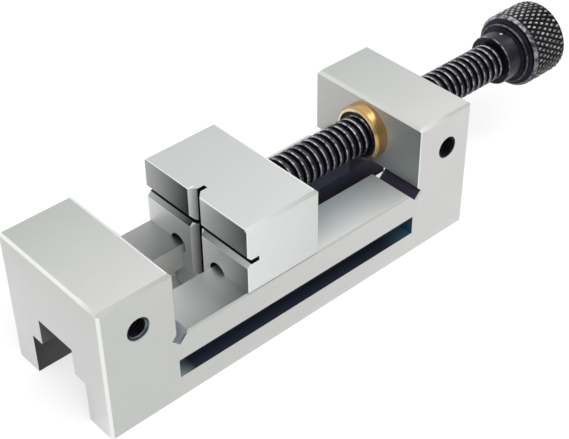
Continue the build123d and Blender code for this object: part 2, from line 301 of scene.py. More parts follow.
gripKnob = {
    "diamondsAround": 38,
    "axialPitch": 4.01,
    "rootRadius": 13.45,
    "depth": 0.54,
    "flatShare": 0.34,  # of each diamond, left as its flat top
    "knurlFrom": 203.0,
    "knurlTo": 221.5,
    "spareSquares": 24,  # beyond those round the head, as the sheet lies turned by 45 degrees
    "turnSteps": 114,
    "smoothAngle": 24,
    # (x, radius) from the bore out and round to the rear face
    "outline": [
        (210.3, 0),
        (210.3, 5.03),
        (knobFront, 5.03),
        (knobFront, 9.02),
        (knobFront + 0.28, 9.3),
        (200.9, 9.3),
        (201.2, 9.36),
        (201.32, 9.6),
        (201.35, 11.1),
        (201.65, 11.4),
        (203.2, 11.4),
        (203.5, 11.55),
        (203.6, 12.0),
        (203.6, 12.9),
        (204.75, 14.03),
        (219.27, 14.03),
        (knobRear, 12.9),
        (knobRear, 0),
    ],
    # fills the knurl's tube below its roots, and holds the shoulder, the collar and the rear edge
    "core": [
        (knobFront - 1, 0),
        (knobFront - 1, 13.2),
        (203.61, 13.2),
        (203.61, 13.3),
        (219.9, 13.3),
        (219.9, 13.25),
        (knobRear + 1, 13.25),
        (knobRear + 1, 0),
    ],
    # section of the ring that fills the knurl at the head's front edge
    "bevel": [(203.63, 12.5), (203.63, 12.96), (204.6, 13.91), (204.6, 12.5)],
    "socketAcross": 8.0,
    "socketDepth": 8.0,
    "socketMouth": 0.35,
    "socketMouthSteps": 48,
}


def trimSheet(sheet, length, width):
    # cuts the flat sheet down to a length and a width about its middle
    for way in (1, -1):
        cutOff(sheet, (way * length / 2, 0, 0), (way, 0, 0), fill=False)
    for way in (1, -1):
        cutOff(sheet, (0, way * width / 2, 0), (0, way, 0), fill=False)


def makeKnurl(settings):
    # a flat sheet of diamonds, each raised to a flat top, that goes once round the head
    around = settings["diamondsAround"]
    width = math.tau * settings["rootRadius"] / around
    length = settings["axialPitch"]
    girth = width * around
    span = settings["knurlTo"] - settings["knurlFrom"]
    squares = around + settings["spareSquares"]
    deselectAll()
    bpy.ops.mesh.primitive_grid_add(x_subdivisions=squares, y_subdivisions=squares, size=1)
    sheet = bpy.context.object
    sheet.name = "knurlSheet"
    # one square's diagonals become a diamond's length and width
    diagonal = math.sqrt(2) / squares
    sheet.rotation_euler = (0, 0, math.radians(45))
    bpy.ops.object.transform_apply(location=True, rotation=True, scale=True)
    sheet.scale = (length * mm / diagonal, width * mm / diagonal, 1)
    bpy.ops.object.transform_apply(location=True, rotation=True, scale=True)
    trimSheet(sheet, span + 2 * length, girth + 2 * width)
    inradius = width * length / (2 * math.hypot(width, length))
    bpy.ops.object.mode_set(mode="EDIT")
    bpy.ops.mesh.select_all(action="SELECT")
    bpy.ops.mesh.inset(
        thickness=(1 - settings["flatShare"]) * inradius * mm,
        depth=settings["depth"] * mm,
        use_individual=True,
    )
    bpy.ops.object.mode_set(mode="OBJECT")
    trimSheet(sheet, span, girth)
    return sheet, girth, span


def wrapSheet(sheet, settings, girth, span):
    # the sheet's width goes once round the axis, and its height becomes the radius
    middle = (settings["knurlFrom"] + settings["knurlTo"]) / 2
    for vertex in sheet.data.vertices:
        x, y, z = vertex.co / mm
        turn = y / girth * math.tau
        radius = settings["rootRadius"] + z
        vertex.co = Vector((middle + x, -radius * math.sin(turn), axisHeight + radius * math.cos(turn))) * mm
    tidyMesh(sheet, gap=0.003)
    # both ends are closed, so that it can be cut with solids
    bpy.ops.object.mode_set(mode="EDIT")
    bpy.ops.mesh.select_all(action="DESELECT")
    bpy.ops.mesh.select_non_manifold(extend=False)
    bpy.ops.mesh.fill_holes(sides=0)
    bpy.ops.mesh.select_all(action="SELECT")
    bpy.ops.mesh.normals_make_consistent(inside=False)
    bpy.ops.object.mode_set(mode="OBJECT")


def makeKnob(settings):
    sheet, girth, span = makeKnurl(settings)
    wrapSheet(sheet, settings, girth, span)
    knob = turnPiece("gripKnob", settings["outline"], settings["turnSteps"])

    # hexagon key's socket: the prism, 1 mm proud of the knob, and a cone that breaks its mouth
    deselectAll()
    corner = settings["socketAcross"] / math.sqrt(3)
    depth = settings["socketDepth"]
    bpy.ops.mesh.primitive_cylinder_add(
        vertices=6,
        radius=corner * mm,
        depth=(depth + 1) * mm,
        location=((knobRear - (depth - 1) / 2) * mm, 0, axisHeight * mm),
        rotation=(0, math.radians(90), 0),
    )
    key = bpy.context.object
    bpy.ops.object.transform_apply(location=True, rotation=True, scale=True)
    broken = settings["socketMouth"]
    coneFrom, coneTo = knobRear - 2 * broken, knobRear + 0.6
    cone = [
        (coneFrom, 0),
        (coneFrom, corner - broken),
        (coneTo, corner - broken + coneTo - coneFrom),
        (coneTo, 0),
    ]
    mouth = turnPiece("socketMouth", cone, settings["socketMouthSteps"])
    for cutter in (key, mouth):
        applyModifier(knob, "BOOLEAN", operation="DIFFERENCE", object=cutter, solver="EXACT")
        bpy.data.objects.remove(cutter)

    # what the knurl and its core leave of the turned outline is the knob
    core = turnPiece("smoothCore", settings["core"], settings["turnSteps"])
    applyModifier(sheet, "BOOLEAN", operation="UNION", object=core, solver="EXACT")
    bpy.data.objects.remove(core)
    applyModifier(knob, "BOOLEAN", operation="INTERSECT", object=sheet, solver="EXACT")
    bpy.data.objects.remove(sheet)

    # the front bevel is turned after the knurl and stays smooth
    section = [(x, 0, r) for x, r in settings["bevel"]]
    bevel = turnRing("headBevel", (0, 0, axisHeight), section, "X", settings["turnSteps"])
    applyModifier(knob, "BOOLEAN", operation="UNION", object=bevel, solver="EXACT")
    bpy.data.objects.remove(bevel)
    tidyMesh(knob, gap=0.0005)
    smoothByAngle(knob, settings["smoothAngle"])
    return knob


knobPiece = makeKnob(gripKnob)
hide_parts("knurled_knob")
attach(knobPiece, "spindle")
print("knob:", len(knobPiece.data.polygons), "faces")


# Threads inside the two M8 side holes

stopHole = mounts["side_stop_hole"]["pos_m"]
stopHoleX, holeHeight = stopHole[0] / mm, stopHole[2] / mm
lockHoleX = round(sum(lengthSpan("nut_lock_screw")) / 2, 1)

sideThread = {
    "pitch": 1.25,
    "valleyRadius": 3.84,
    "crestRadius": 3.42,
    "valleyFlat": 0.14,  # length along the axis, and the flanks share what the two flats leave
    "crestFlat": 0.59,
    "wall": 0.12,
    "turnSteps": 32,
    "smoothAngle": 35,
    "mouthSmoothAngle": 25,
    # name: x of the hole, y where the thread starts and ends
    "holes": {"stopHoleThread": (stopHoleX, -24.85, -11.6), "lockHoleThread": (lockHoleX, -24.85, -19.3)},
    "height": holeHeight,
    # the stop hole's broken mouth: (y, radius) round its section
    "mouth": [(-24.96, 3.96), (-24.1, 3.1), (-23.9, 3.2), (-23.9, 3.96)],
}


def makeSideThread(name, place, settings):
    x, mouth, bottom = place
    pitch = settings["pitch"]
    start = mouth - 2 * pitch
    valley, crest = settings["valleyRadius"], settings["crestRadius"]
    flank = (pitch - settings["valleyFlat"] - settings["crestFlat"]) / 2
    outline = [
        (0.0, valley),
        (settings["valleyFlat"], valley),
        (settings["valleyFlat"] + flank, crest),
        (pitch - flank, crest),
        (pitch, valley),
    ]
    thread = drawChain(name, (x, 0, settings["height"]), [(0, start + y, r) for y, r in outline])
    turns = math.ceil((bottom - start) / pitch) + 1
    sweepTurns(thread, "Y", pitch, turns, settings["turnSteps"])
    cutOff(thread, (0, mouth, 0), (0, -1, 0), fill=False)
    cutOff(thread, (0, bottom, 0), (0, 1, 0), fill=False)
    tidyMesh(thread, inward=True, gap=0.0005)
    applyModifier(thread, "SOLIDIFY", thickness=settings["wall"] * mm, offset=-1, use_rim=True)
    smoothByAngle(thread, settings["smoothAngle"])
    return thread


def makeHoleMouth(name, x, settings):
    # a ring of three-cornered section in the mouth of the hole
    section = [(0, y, r) for y, r in settings["mouth"]]
    mouth = turnRing(name, (x, 0, settings["height"]), section, "Y", settings["turnSteps"])
    smoothByAngle(mouth, settings["mouthSmoothAngle"])
    return mouth


sidePieces = []
for threadName, threadPlace in sideThread["holes"].items():
    threadPiece = makeSideThread(threadName, threadPlace, sideThread)
    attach(threadPiece, "base")
    sidePieces.append(threadPiece)
mouthPiece = makeHoleMouth("stopHoleMouth", stopHoleX, sideThread)
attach(mouthPiece, "base")
print("side hole threads:", [len(piece.data.polygons) for piece in sidePieces])


# Materials


def hexColor(code):
    # sRGB hex to linear
    parts = [int(code[i : i + 2], 16) / 255 for i in (1, 3, 5)]
    return tuple(v / 12.92 if v <= 0.04045 else ((v + 0.055) / 1.055) ** 2.4 for v in parts) + (1.0,)


def addNode(tree, kind, inputs=None, links=None, **settings):
    # inputs: values by socket, links: what feeds it, by socket. Sockets that share a name go by number:
    # a Mix node has 0 for its factor, 2 and 3 for numbers, and 6 and 7 for colours
    node = tree.nodes.new(kind)
    for key, value in settings.items():
        setattr(node, key, value)
    for key, value in (inputs or {}).items():
        node.inputs[key].default_value = value
    for key, socket in (links or {}).items():
        tree.links.new(socket, node.inputs[key])
    return node


def newMaterial(name):
    material = bpy.data.materials.new(name)
    material.use_nodes = True
    material.node_tree.nodes.clear()
    return material, material.node_tree


def finishMaterial(tree, surface):
    addNode(tree, "ShaderNodeOutputMaterial", links={"Surface": surface})


def inBox(tree, axes, box):
    # 1 inside a box given in mm as (low, high) along each axis, and 0 outside
    product = None
    for axis, (low, high) in zip(axes, box):
        middle, reach = (low + high) / 2 * mm, (high - low) / 2 * mm
        part = addNode(tree, "ShaderNodeMath", {1: middle, 2: reach}, {0: axis}, operation="COMPARE")
        if product is not None:
            feeds = {0: product, 1: part.outputs[0]}
            part = addNode(tree, "ShaderNodeMath", links=feeds, operation="MULTIPLY")
        product = part.outputs[0]
    return product


# Ground tool steel: surface ground dry with a fine wheel, so it is a satin grey with faint lay
# lines along the vise. Each face carries painted light and shade, a tone and a gradient of its own. Edges are
# broken and painted with a bright highlight. Slots and corner reliefs are left as milled, rougher, and
# painted dark as shade.
groundSteel = {
    "body": "#CECFCC",
    # the body and the jaw are one steel; the jaw's tone is painted lighter, as its faces take more light
    "jaw": "#DDDEDC",
    # painted highlight: the bright glint along the broken edges
    "edgeGlint": "#F2F4F0",
    "grain": 0.025,  # how far the lay lightens and darkens a tone
    "layShare": 0.55,  # of that, and the rest is soft clouds
    "cloudsPerMm": 0.045,
    "roughness": 0.43,
    "layRoughness": 0.08,  # how far the lay changes it
    "edgeRoughness": 0.3,
    "layWidth": 0.5,  # real lay is about 0.02 mm, drawn coarse enough to show
    "layLength": 18.0,
    "layDepth": 0.0010,
    "milledRoughness": 0.55,
    "milledBelow": 0.35,  # faces with a lower share of bare metal are left as milled
    # where a tone begins and ends to fade in, mm along X, under the jaw's place at rest
    "fades": {"rearBed": (56, 84), "rearChannel": (56, 66)},
}

# the broken edges lie further out from the middle than this, or higher, mm
bodyEdges = (23.9, 23.9)
jawEdges = (24.5, 48.9)

# places that several faces share, mm
bodyLength = (-1, 155)
betweenEdges = (-24.1, 24.1)
topFace = (49.9, 50.1)
sideFace = (24.9, 25.1)
bedFace = (24.9, 25.1)
topEdge = (48.9, 50.1)
nearEdge = (-25.1, -23.9)
sideSlotDepth = (19.5, 24.98)
sideSlotHeight = (7.9, 15.3)
reliefWidth = (7.65, 24.28)
slotHeight = (15.4, 24.985)
pocketHeight = (15.4, 25.6)
channelWidth = (0, 13.85)
channelHeight = (0.02, 15.55)
jawFace = (jawFront - 0.1, jawFront + 0.1)
facetDepth = (54.55, 56.8)

# name: (x, y, z) as (low, high) in mm, tones of painted light and shade at the low and the high end of one
# axis, that axis, share of bare metal, and whether it lies on one side or on both
bodyLightAndShade = {
    # painted light and shade: the tops, the sides and the front end lighten and darken across them
    "jawAndBlockTops": ((bodyLength, betweenEdges, topFace), ("#D8D8D6", "#C0C4C0"), "y", 1, "one"),
    "sides": ((bodyLength, sideFace, (-1, 49.1)), ("#CCCECB", "#DCDBDA"), "x", 1, "both"),
    "frontEnd": (((-0.1, 0.1), betweenEdges, (-1, 49.1)), ("#EEEFEE", "#D8D9D7"), "z", 1, "one"),
    # painted shade on the bed between and behind the jaws, and on the rear block's face round the nut
    "openBedNear": (((26.4, 84.0), (-24.35, -7.5), bedFace), ("#A8ACAB", "#D8DCDB"), "y", 1, "one"),
    "openBedFar": (((26.4, 84.0), (7.5, 24.35), bedFace), ("#8A8E8E", "#A6A8A7"), "y", 1, "one"),
    "rearBed": (((56, 130), (7.5, 24.35), bedFace), ("#A8B2B6", "#DADCDA"), "y", 0.45, "both"),
    "blockFace": (((129.9, 130.1), (-24.65, 0), (26, 49.1)), ("#909695", "#BCC2C2"), "y", 0.4, "one"),
    # painted highlights: bright lines along the broken edges of the fixed jaw and the rear block
    "blockFrontEdge": (((129.9, 131.1), betweenEdges, topEdge), ("#D0D2CF", "#DADCD8"), "y", 1, "one"),
    "blockSideEdge": (((129.9, 144), nearEdge, topEdge), ("#F4F5F2", "#D0D2CE"), "x", 1, "one"),
    "frontTopEdge": (((-0.1, 1.0), (-24.2, -15), (49.0, 50.1)), ("#D2D5D2", "#F2F4F0"), "y", 1, "one"),
    "fixedRearLine": (((25.1, 25.55), betweenEdges, topFace), ("#FAFBF9", "#E4E6E3"), "y", 1, "one"),
    "fixedSideEdge": (((-0.1, 26.6), nearEdge, topEdge), ("#D8DAD6", "#C6C8C3"), "x", 1, "one"),
    # painted shade: the side slots dark inside, with painted light towards their open ends
    "sideSlot": (((26.4, 128.2), sideSlotDepth, sideSlotHeight), ("#242B3A", "#1E2430"), "x", 0.15, "both"),
    "sideSlotFront": (((26.4, 33), sideSlotDepth, sideSlotHeight), ("#8E9EA0", "#242B3A"), "x", 0.15, "both"),
    "sideSlotRear": (
        ((116, 128.2), sideSlotDepth, sideSlotHeight), ("#1E2430", "#345260"), "x", 0.15, "both"
    ),
    # painted shade in the corner reliefs at the feet of the fixed jaw and the rear block
    "frontRelief": (((24.2, 30.9), reliefWidth, (21.2, 24.985)), ("#B4BABF", "#B4BABF"), "y", 0.6, "both"),
    "frontReliefUp": (((23.0, 26.47), reliefWidth, (20.0, 28.2)), ("#ACB2B3", "#ACB2B3"), "y", 0.6, "both"),
    "rearRelief": (((125.6, 132.2), reliefWidth, (21.2, 24.985)), ("#343044", "#343044"), "y", 0.3, "both"),
    "rearReliefUp": (((130.03, 133.5), reliefWidth, (20, 28.2)), ("#343044", "#343044"), "y", 0.3, "both"),
    # painted light and shade in the end pockets, the slot under the jaw and the channel beneath: lighter
    # where they open, dark where enclosed
    "frontPocket": (((-0.5, 26.3), (0, 8.65), pocketHeight), ("#8A8784", "#8A8784"), "y", 0.6, "both"),
    "frontSlot": (((26.3, 84.0), (0, 7.65), slotHeight), ("#F2F4F0", "#464848"), "x", 0.3, "both"),
    "rearSlot": (((84.0, 130.0), (0, 7.95), (15.4, 24.99)), ("#62667E", "#62667E"), "y", 0.3, "both"),
    "rearPocket": (((130.0, 155.0), (0, 8.65), pocketHeight), ("#3C3E4E", "#3C3E4E"), "y", 0.3, "both"),
    "frontChannel": (((-0.5, 60.0), channelWidth, channelHeight), ("#404045", "#FFFFFF"), "x", 0.4, "both"),
    "rearChannel": (((56.0, 155.0), channelWidth, channelHeight), ("#101218", "#62667E"), "z", 0.2, "both"),
}

jawLightAndShade = {
    # painted light and shade fading across the jaw's top and sides
    "top": (((54, 84.5), betweenEdges, topFace), ("#D9DBDA", "#CACDCB"), "y", 1, "one"),
    "sides": (((54, 84.5), sideFace, (24, 49.1)), ("#E6EAE9", "#DADCDA"), "x", 1, "both"),
    # painted shade: a dark line in the joint between the jaw and the bed
    "soleLine": (((54.6, 83.9), sideFace, (24.9, 25.22)), ("#77726A", "#8A857C"), "x", 0.6, "both"),
    # painted light and shade on the gripping face: each half and each facet runs from light to dark across it
    "upperFaceFar": ((jawFace, (3, 24.7), (37, 49.7)), ("#303335", "#BABCBB"), "y", 1, "one"),
    "upperFaceNear": ((jawFace, (-24.7, -3), (37, 49.7)), ("#6C6F72", "#FBFEFE"), "y", 0.8, "one"),
    "lowerFaceFar": ((jawFace, (0, 24.7), (15, 37)), ("#C0C3C3", "#F6F8F7"), "y", 0.75, "one"),
    "lowerFaceNear": ((jawFace, (-24.7, -2.9), (15, 37)), ("#6C7070", "#FDFEFE"), "y", 0.35, "one"),
    "facetFar": (((54.55, 56.5), (2.5, 24.7), (34, 36.3)), ("#202325", "#B0B4B2"), "y", 1, "one"),
    "facetNear": (((54.55, 56.5), (-24.7, -2.5), (34, 36.3)), ("#BCC0C0", "#7C807F"), "y", 1, "one"),
    "uprightFacet": ((facetDepth, (0.75, 3.1), (38, 50.1)), ("#888C8A", "#F6F8F6"), "y", 0.4, "one"),
    "uprightFacetLow": ((facetDepth, (0.75, 3.1), (15, 36)), ("#5C605E", "#DCDEDC"), "y", 0.4, "one"),
    # painted highlights: bright lines along the jaw's broken edges
    "topRearLine": (((82.5, 83), betweenEdges, topFace), ("#FCFDFC", "#E8EAE8"), "y", 1, "one"),
    "sideEdge": (((54.4, 84.0), (-25.1, -23.95), (48.95, 50.1)), ("#F0F2F0", "#C4C8C2"), "x", 1, "one"),
    # painted shade: near black in the jaw's grooves and its sole reliefs
    "acrossSlot": (((55.8, 59.1), (-26, 26), (36.15, 37.85)), ("#0C0D0E", "#0C0D0E"), "y", 0.1, "one"),
    "uprightSlot": (((56.6, 59.5), (-0.83, 0.83), (15, 51)), ("#0C0D0E", "#0C0D0E"), "y", 0.1, "one"),
    "soleRelief": (((54.6, 83.8), (6.2, 13.6), (20.3, 27.7)), ("#141818", "#141818"), "y", 0.2, "both"),
    "keeperFront": (((55.0, 55.7), (0, 13.6), (5, 15.44)), ("#C0C4C2", "#C0C4C2"), "y", 0.3, "both"),
}


def normalParts(tree):
    # sizes of a face's direction along X, Y and Z, the same for both ways along each
    facing = addNode(tree, "ShaderNodeNewGeometry").outputs["True Normal"]
    facing = addNode(tree, "ShaderNodeVectorMath", links={0: facing}, operation="ABSOLUTE").outputs[0]
    return addNode(tree, "ShaderNodeSeparateXYZ", links={0: facing}).outputs


def isBroken(tree):
    # 1 on the broken edges that face partly forwards or rearwards: the largest part of their
    # direction is under flatFrom, and the part along X over leanFrom
    flatFrom, leanFrom = 0.85, 0.3
    x, y, z = normalParts(tree)
    most = addNode(tree, "ShaderNodeMath", links={0: x, 1: y}, operation="MAXIMUM").outputs[0]
    most = addNode(tree, "ShaderNodeMath", links={0: most, 1: z}, operation="MAXIMUM").outputs[0]
    slanted = addNode(tree, "ShaderNodeMath", {1: flatFrom}, {0: most}, operation="LESS_THAN").outputs[0]
    ends = addNode(tree, "ShaderNodeMath", {1: leanFrom}, {0: x}, operation="GREATER_THAN").outputs[0]
    return addNode(tree, "ShaderNodeMath", links={0: slanted, 1: ends}, operation="MULTIPLY").outputs[0]


def makeGroundSteel(name, tone, settings, regions, edgesFrom):
    material, tree = newMaterial(name)
    coordinates = addNode(tree, "ShaderNodeTexCoord").outputs["Object"]
    x, y, z = addNode(tree, "ShaderNodeSeparateXYZ", links={0: coordinates}).outputs
    across = addNode(tree, "ShaderNodeMath", links={0: y}, operation="ABSOLUTE").outputs[0]

    alongLay, acrossLay = 1 / (settings["layLength"] * mm), 1 / (settings["layWidth"] * mm)
    laySize = {"Scale": (alongLay, acrossLay, acrossLay)}
    lay = addNode(tree, "ShaderNodeMapping", laySize, {"Vector": coordinates}).outputs[0]
    look = {"Scale": 1.0, "Detail": 3.0, "Roughness": 0.6}
    lines = addNode(tree, "ShaderNodeTexNoise", look, {"Vector": lay}).outputs[0]
    look = {"Scale": settings["cloudsPerMm"] / mm, "Detail": 2.0}
    clouds = addNode(tree, "ShaderNodeTexNoise", look, {"Vector": coordinates}).outputs[0]
    change = settings["layRoughness"]
    middle = settings["roughness"]
    roughness = addNode(
        tree, "ShaderNodeMath", {1: change, 2: middle - change / 2}, {0: lines}, operation="MULTIPLY_ADD"
    ).outputs[0]
    color = addNode(tree, "ShaderNodeRGB").outputs[0]
    color.default_value = hexColor(tone)
    metal = addNode(tree, "ShaderNodeValue").outputs[0]
    metal.default_value = 1.0

    # broken edges, painted with a bright highlight
    outFrom, highFrom = edgesFrom[0] * mm, edgesFrom[1] * mm
    high = addNode(tree, "ShaderNodeMath", {1: highFrom}, {0: z}, operation="GREATER_THAN").outputs[0]
    out = addNode(tree, "ShaderNodeMath", {1: outFrom}, {0: across}, operation="GREATER_THAN").outputs[0]
    edgeGlint = addNode(tree, "ShaderNodeMath", links={0: high, 1: out}, operation="MAXIMUM").outputs[0]
    feeds = {0: edgeGlint, 1: isBroken(tree)}
    edgeGlint = addNode(tree, "ShaderNodeMath", links=feeds, operation="MULTIPLY").outputs[0]
    bright = hexColor(settings["edgeGlint"])
    color = addNode(tree, "ShaderNodeMix", {7: bright}, {0: edgeGlint, 6: color}, data_type="RGBA").outputs[2]
    smooth = settings["edgeRoughness"]
    roughness = addNode(tree, "ShaderNodeMix", {3: smooth}, {0: edgeGlint, 2: roughness}).outputs[0]

    # faces, slots and reliefs, each with its painted light and shade
    for region, (box, tones, along, bare, sides) in regions.items():
        axes = {"x": x, "y": y if sides == "one" else across, "z": z}
        low, high = box["xyz".index(along)]
        inside = inBox(tree, axes.values(), box)
        if region in settings["fades"]:
            begin, full = settings["fades"][region]
            span = {"From Min": begin * mm, "From Max": full * mm}
            fade = addNode(tree, "ShaderNodeMapRange", span, {"Value": x}).outputs[0]
            feeds = {0: inside, 1: fade}
            inside = addNode(tree, "ShaderNodeMath", links=feeds, operation="MULTIPLY").outputs[0]
        span = {"From Min": low * mm, "From Max": high * mm}
        share = addNode(tree, "ShaderNodeMapRange", span, {"Value": axes[along]}).outputs[0]
        shades = {6: hexColor(tones[0]), 7: hexColor(tones[1])}
        shade = addNode(tree, "ShaderNodeMix", shades, {0: share}, data_type="RGBA").outputs[2]
        feeds = {0: inside, 6: color, 7: shade}
        color = addNode(tree, "ShaderNodeMix", links=feeds, data_type="RGBA").outputs[2]
        metal = addNode(tree, "ShaderNodeMix", {3: bare}, {0: inside, 2: metal}).outputs[0]
        if bare < settings["milledBelow"]:
            dull = settings["milledRoughness"]
            roughness = addNode(tree, "ShaderNodeMix", {3: dull}, {0: inside, 2: roughness}).outputs[0]

    # the lay and larger soft clouds lighten and darken every tone a little
    share, amount = settings["layShare"], settings["grain"]
    grain = addNode(tree, "ShaderNodeMath", {1: share}, {0: lines}, operation="MULTIPLY").outputs[0]
    grain = addNode(
        tree, "ShaderNodeMath", {1: 1 - share}, {0: clouds, 2: grain}, operation="MULTIPLY_ADD"
    ).outputs[0]
    span = {"From Min": 0.2, "From Max": 0.8, "To Min": 1 - 2 * amount, "To Max": 1 + 2 * amount}
    grain = addNode(tree, "ShaderNodeMapRange", span, {"Value": grain}).outputs[0]
    feeds = {0: color, "Scale": grain}
    color = addNode(tree, "ShaderNodeVectorMath", links=feeds, operation="SCALE").outputs[0]
    relief = {"Strength": 0.6, "Distance": settings["layDepth"] * mm}
    bump = addNode(tree, "ShaderNodeBump", relief, {"Height": lines})
    surface = addNode(
        tree,
        "ShaderNodeBsdfPrincipled",
        links={"Base Color": color, "Roughness": roughness, "Metallic": metal, "Normal": bump.outputs[0]},
    )
    finishMaterial(tree, surface.outputs[0])
    return material


# Free-cutting brass: turned bright, with fine rings round the screw's axis
turnedBrass = {
    "color": "#DDBA7C",
    "deep": "#B0854E",
    # painted highlight round the nut's mouth
    "rimHighlight": "#FBF0D4",
    "rimRadii": (8.45, 9.3),
    "roughness": 0.27,
    "ringWidth": 0.35,  # real feed marks are about 0.05 mm, drawn coarser
    "ringDepth": 0.004,
}


def axisRadius(tree, parts, height):
    # distance from the screw's axis, in metres
    high = parts.outputs["Z"]
    up = addNode(tree, "ShaderNodeMath", {1: height * mm}, {0: high}, operation="SUBTRACT").outputs[0]
    flat = addNode(tree, "ShaderNodeCombineXYZ", {0: 0.0}, {1: parts.outputs["Y"], 2: up}).outputs[0]
    return addNode(tree, "ShaderNodeVectorMath", links={0: flat}, operation="LENGTH").outputs["Value"]


def makeTurnedBrass(name, settings):
    material, tree = newMaterial(name)
    coordinates = addNode(tree, "ShaderNodeTexCoord").outputs["Object"]
    parts = addNode(tree, "ShaderNodeSeparateXYZ", links={0: coordinates})
    radius = axisRadius(tree, parts, axisHeight)
    rings = addNode(tree, "ShaderNodeCombineXYZ", links={0: parts.outputs[0], 1: radius}).outputs[0]
    look = {"Scale": 1 / (settings["ringWidth"] * mm), "Detail": 2.0}
    marks = addNode(tree, "ShaderNodeTexNoise", look, {"Vector": rings}).outputs[0]
    tones = {6: hexColor(settings["deep"]), 7: hexColor(settings["color"])}
    color = addNode(tree, "ShaderNodeMix", tones, {0: marks}, data_type="RGBA").outputs[2]
    # painted highlight: a bright ring on the nut's front round its mouth
    rimHighlight = inBox(tree, (parts.outputs[0], radius), ((nutFront - 0.1, nutFront + 0.15), settings["rimRadii"]))
    bright = hexColor(settings["rimHighlight"])
    color = addNode(tree, "ShaderNodeMix", {7: bright}, {0: rimHighlight, 6: color}, data_type="RGBA").outputs[2]
    relief = {"Strength": 0.5, "Distance": settings["ringDepth"] * mm}
    bump = addNode(tree, "ShaderNodeBump", relief, {"Height": marks}).outputs[0]
    surface = addNode(
        tree,
        "ShaderNodeBsdfPrincipled",
        {"Metallic": 1.0, "Roughness": settings["roughness"]},
        {"Base Color": color, "Normal": bump},
    )
    finishMaterial(tree, surface.outputs[0])
    return material


# Black oxide on steel: a thin blue-black film dipped on after turning, oily and half glossy,
# rubbed through to grey steel on the thread's leading edges, the rims and the knurl's tops; that grey is also
# a painted highlight
blackOxide = {
    "film": "#353540",
    "filmDark": "#1D1D23",
    # wear and painted highlight: grey steel where the film is rubbed through
    "wearAndSheen": "#C6C6CC",
    "roughness": (0.23, 0.38),
    "metallic": 0.75,
    "blotch": 1.6,  # mm
    "patchEdges": (0.38, 0.62),  # of the blotches' noise, where the rubbing begins and is full
    "leastRubbed": 0.12,  # where it hasn't begun
    "litBelow": 0.15,  # painted light: the share at the lowest side of a piece as it stands, and at its highest
    "litAbove": 1.1,
    "leadingFrom": -0.1,  # part of a face's direction along X, below which it leads
}

# where the film is rubbed through and a highlight painted: (x, radius) as (low, high) in mm, and how far
screwWearAndSheen = {"leadingEdges": (((84, 195), (6.74, 6.975)), 1.0)}
knobWearAndSheen = {
    "shoulderRim": (((193.9, 194.3), (8.9, 9.4)), 0.75),
    "collarRim": (((201.25, 201.7), (10.9, 11.5)), 0.35),
    "headBevel": (((203.55, 204.61), (12.85, 14.1)), 0.8),
    "knurlTops": (((204.76, 219.5), (13.86, 14.1)), 1.0),
}
# where the film is thicker, and its tone
knurlFilm = (((204.6, 220.5), (12.0, 14.1)), "#1A1A1B")


def makeBlackOxide(name, settings, wearAndSheen, reach=7.0, leading=False, head=None):
    # reach: the piece's radius in mm; leading: only what faces the fixed jaw is rubbed and given the painted
    # highlight;
    # head: a box of (x, radius) with a tone of its own
    material, tree = newMaterial(name)
    coordinates = addNode(tree, "ShaderNodeTexCoord").outputs["Object"]
    parts = addNode(tree, "ShaderNodeSeparateXYZ", links={0: coordinates})
    radius = axisRadius(tree, parts, axisHeight)
    look = {"Scale": 1 / (settings["blotch"] * mm), "Detail": 3.0}
    blotches = addNode(tree, "ShaderNodeTexNoise", look, {"Vector": coordinates}).outputs[0]
    tones = {6: hexColor(settings["filmDark"]), 7: hexColor(settings["film"])}
    color = addNode(tree, "ShaderNodeMix", tones, {0: blotches}, data_type="RGBA").outputs[2]
    # rubbing is patchy; it is painted strongest on the upper side as it stands, which is painted light
    begins, full = settings["patchEdges"]
    span = {"From Min": begins, "From Max": full, "To Min": settings["leastRubbed"], "To Max": 1.0}
    patchy = addNode(tree, "ShaderNodeMapRange", span, {"Value": blotches}).outputs[0]
    span = {
        "From Min": (axisHeight - reach) * mm,
        "From Max": (axisHeight + reach) * mm,
        "To Min": settings["litBelow"],
        "To Max": settings["litAbove"],
    }
    litFromAbove = addNode(tree, "ShaderNodeMapRange", span, {"Value": parts.outputs[2]}).outputs[0]
    rubbedAndLit = addNode(tree, "ShaderNodeMath", links={0: patchy, 1: litFromAbove}, operation="MULTIPLY").outputs[0]
    if leading:
        facing = addNode(tree, "ShaderNodeNewGeometry").outputs["True Normal"]
        facing = addNode(tree, "ShaderNodeSeparateXYZ", links={0: facing}).outputs[0]
        lean = settings["leadingFrom"]
        front = addNode(tree, "ShaderNodeMath", {1: lean}, {0: facing}, operation="LESS_THAN").outputs[0]
        feeds = {0: rubbedAndLit, 1: front}
        rubbedAndLit = addNode(tree, "ShaderNodeMath", links=feeds, operation="MULTIPLY").outputs[0]
    if head:
        inside = inBox(tree, (parts.outputs[0], radius), head[0])
        thick = hexColor(head[1])
        color = addNode(tree, "ShaderNodeMix", {7: thick}, {0: inside, 6: color}, data_type="RGBA").outputs[2]
    bright = hexColor(settings["wearAndSheen"])
    for box, share in wearAndSheen.values():
        inside = inBox(tree, (parts.outputs[0], radius), box)
        amount = addNode(tree, "ShaderNodeMath", {1: share}, {0: inside}, operation="MULTIPLY").outputs[0]
        feeds = {0: amount, 1: rubbedAndLit}
        amount = addNode(tree, "ShaderNodeMath", links=feeds, operation="MULTIPLY").outputs[0]
        feeds = {0: amount, 6: color}
        color = addNode(tree, "ShaderNodeMix", {7: bright}, feeds, data_type="RGBA").outputs[2]
    least, most = settings["roughness"]
    roughness = addNode(
        tree, "ShaderNodeMath", {1: most - least, 2: least}, {0: blotches}, operation="MULTIPLY_ADD"
    ).outputs[0]
    surface = addNode(
        tree,
        "ShaderNodeBsdfPrincipled",
        {"Metallic": settings["metallic"]},
        {"Base Color": color, "Roughness": roughness},
    )
    finishMaterial(tree, surface.outputs[0])
    return material


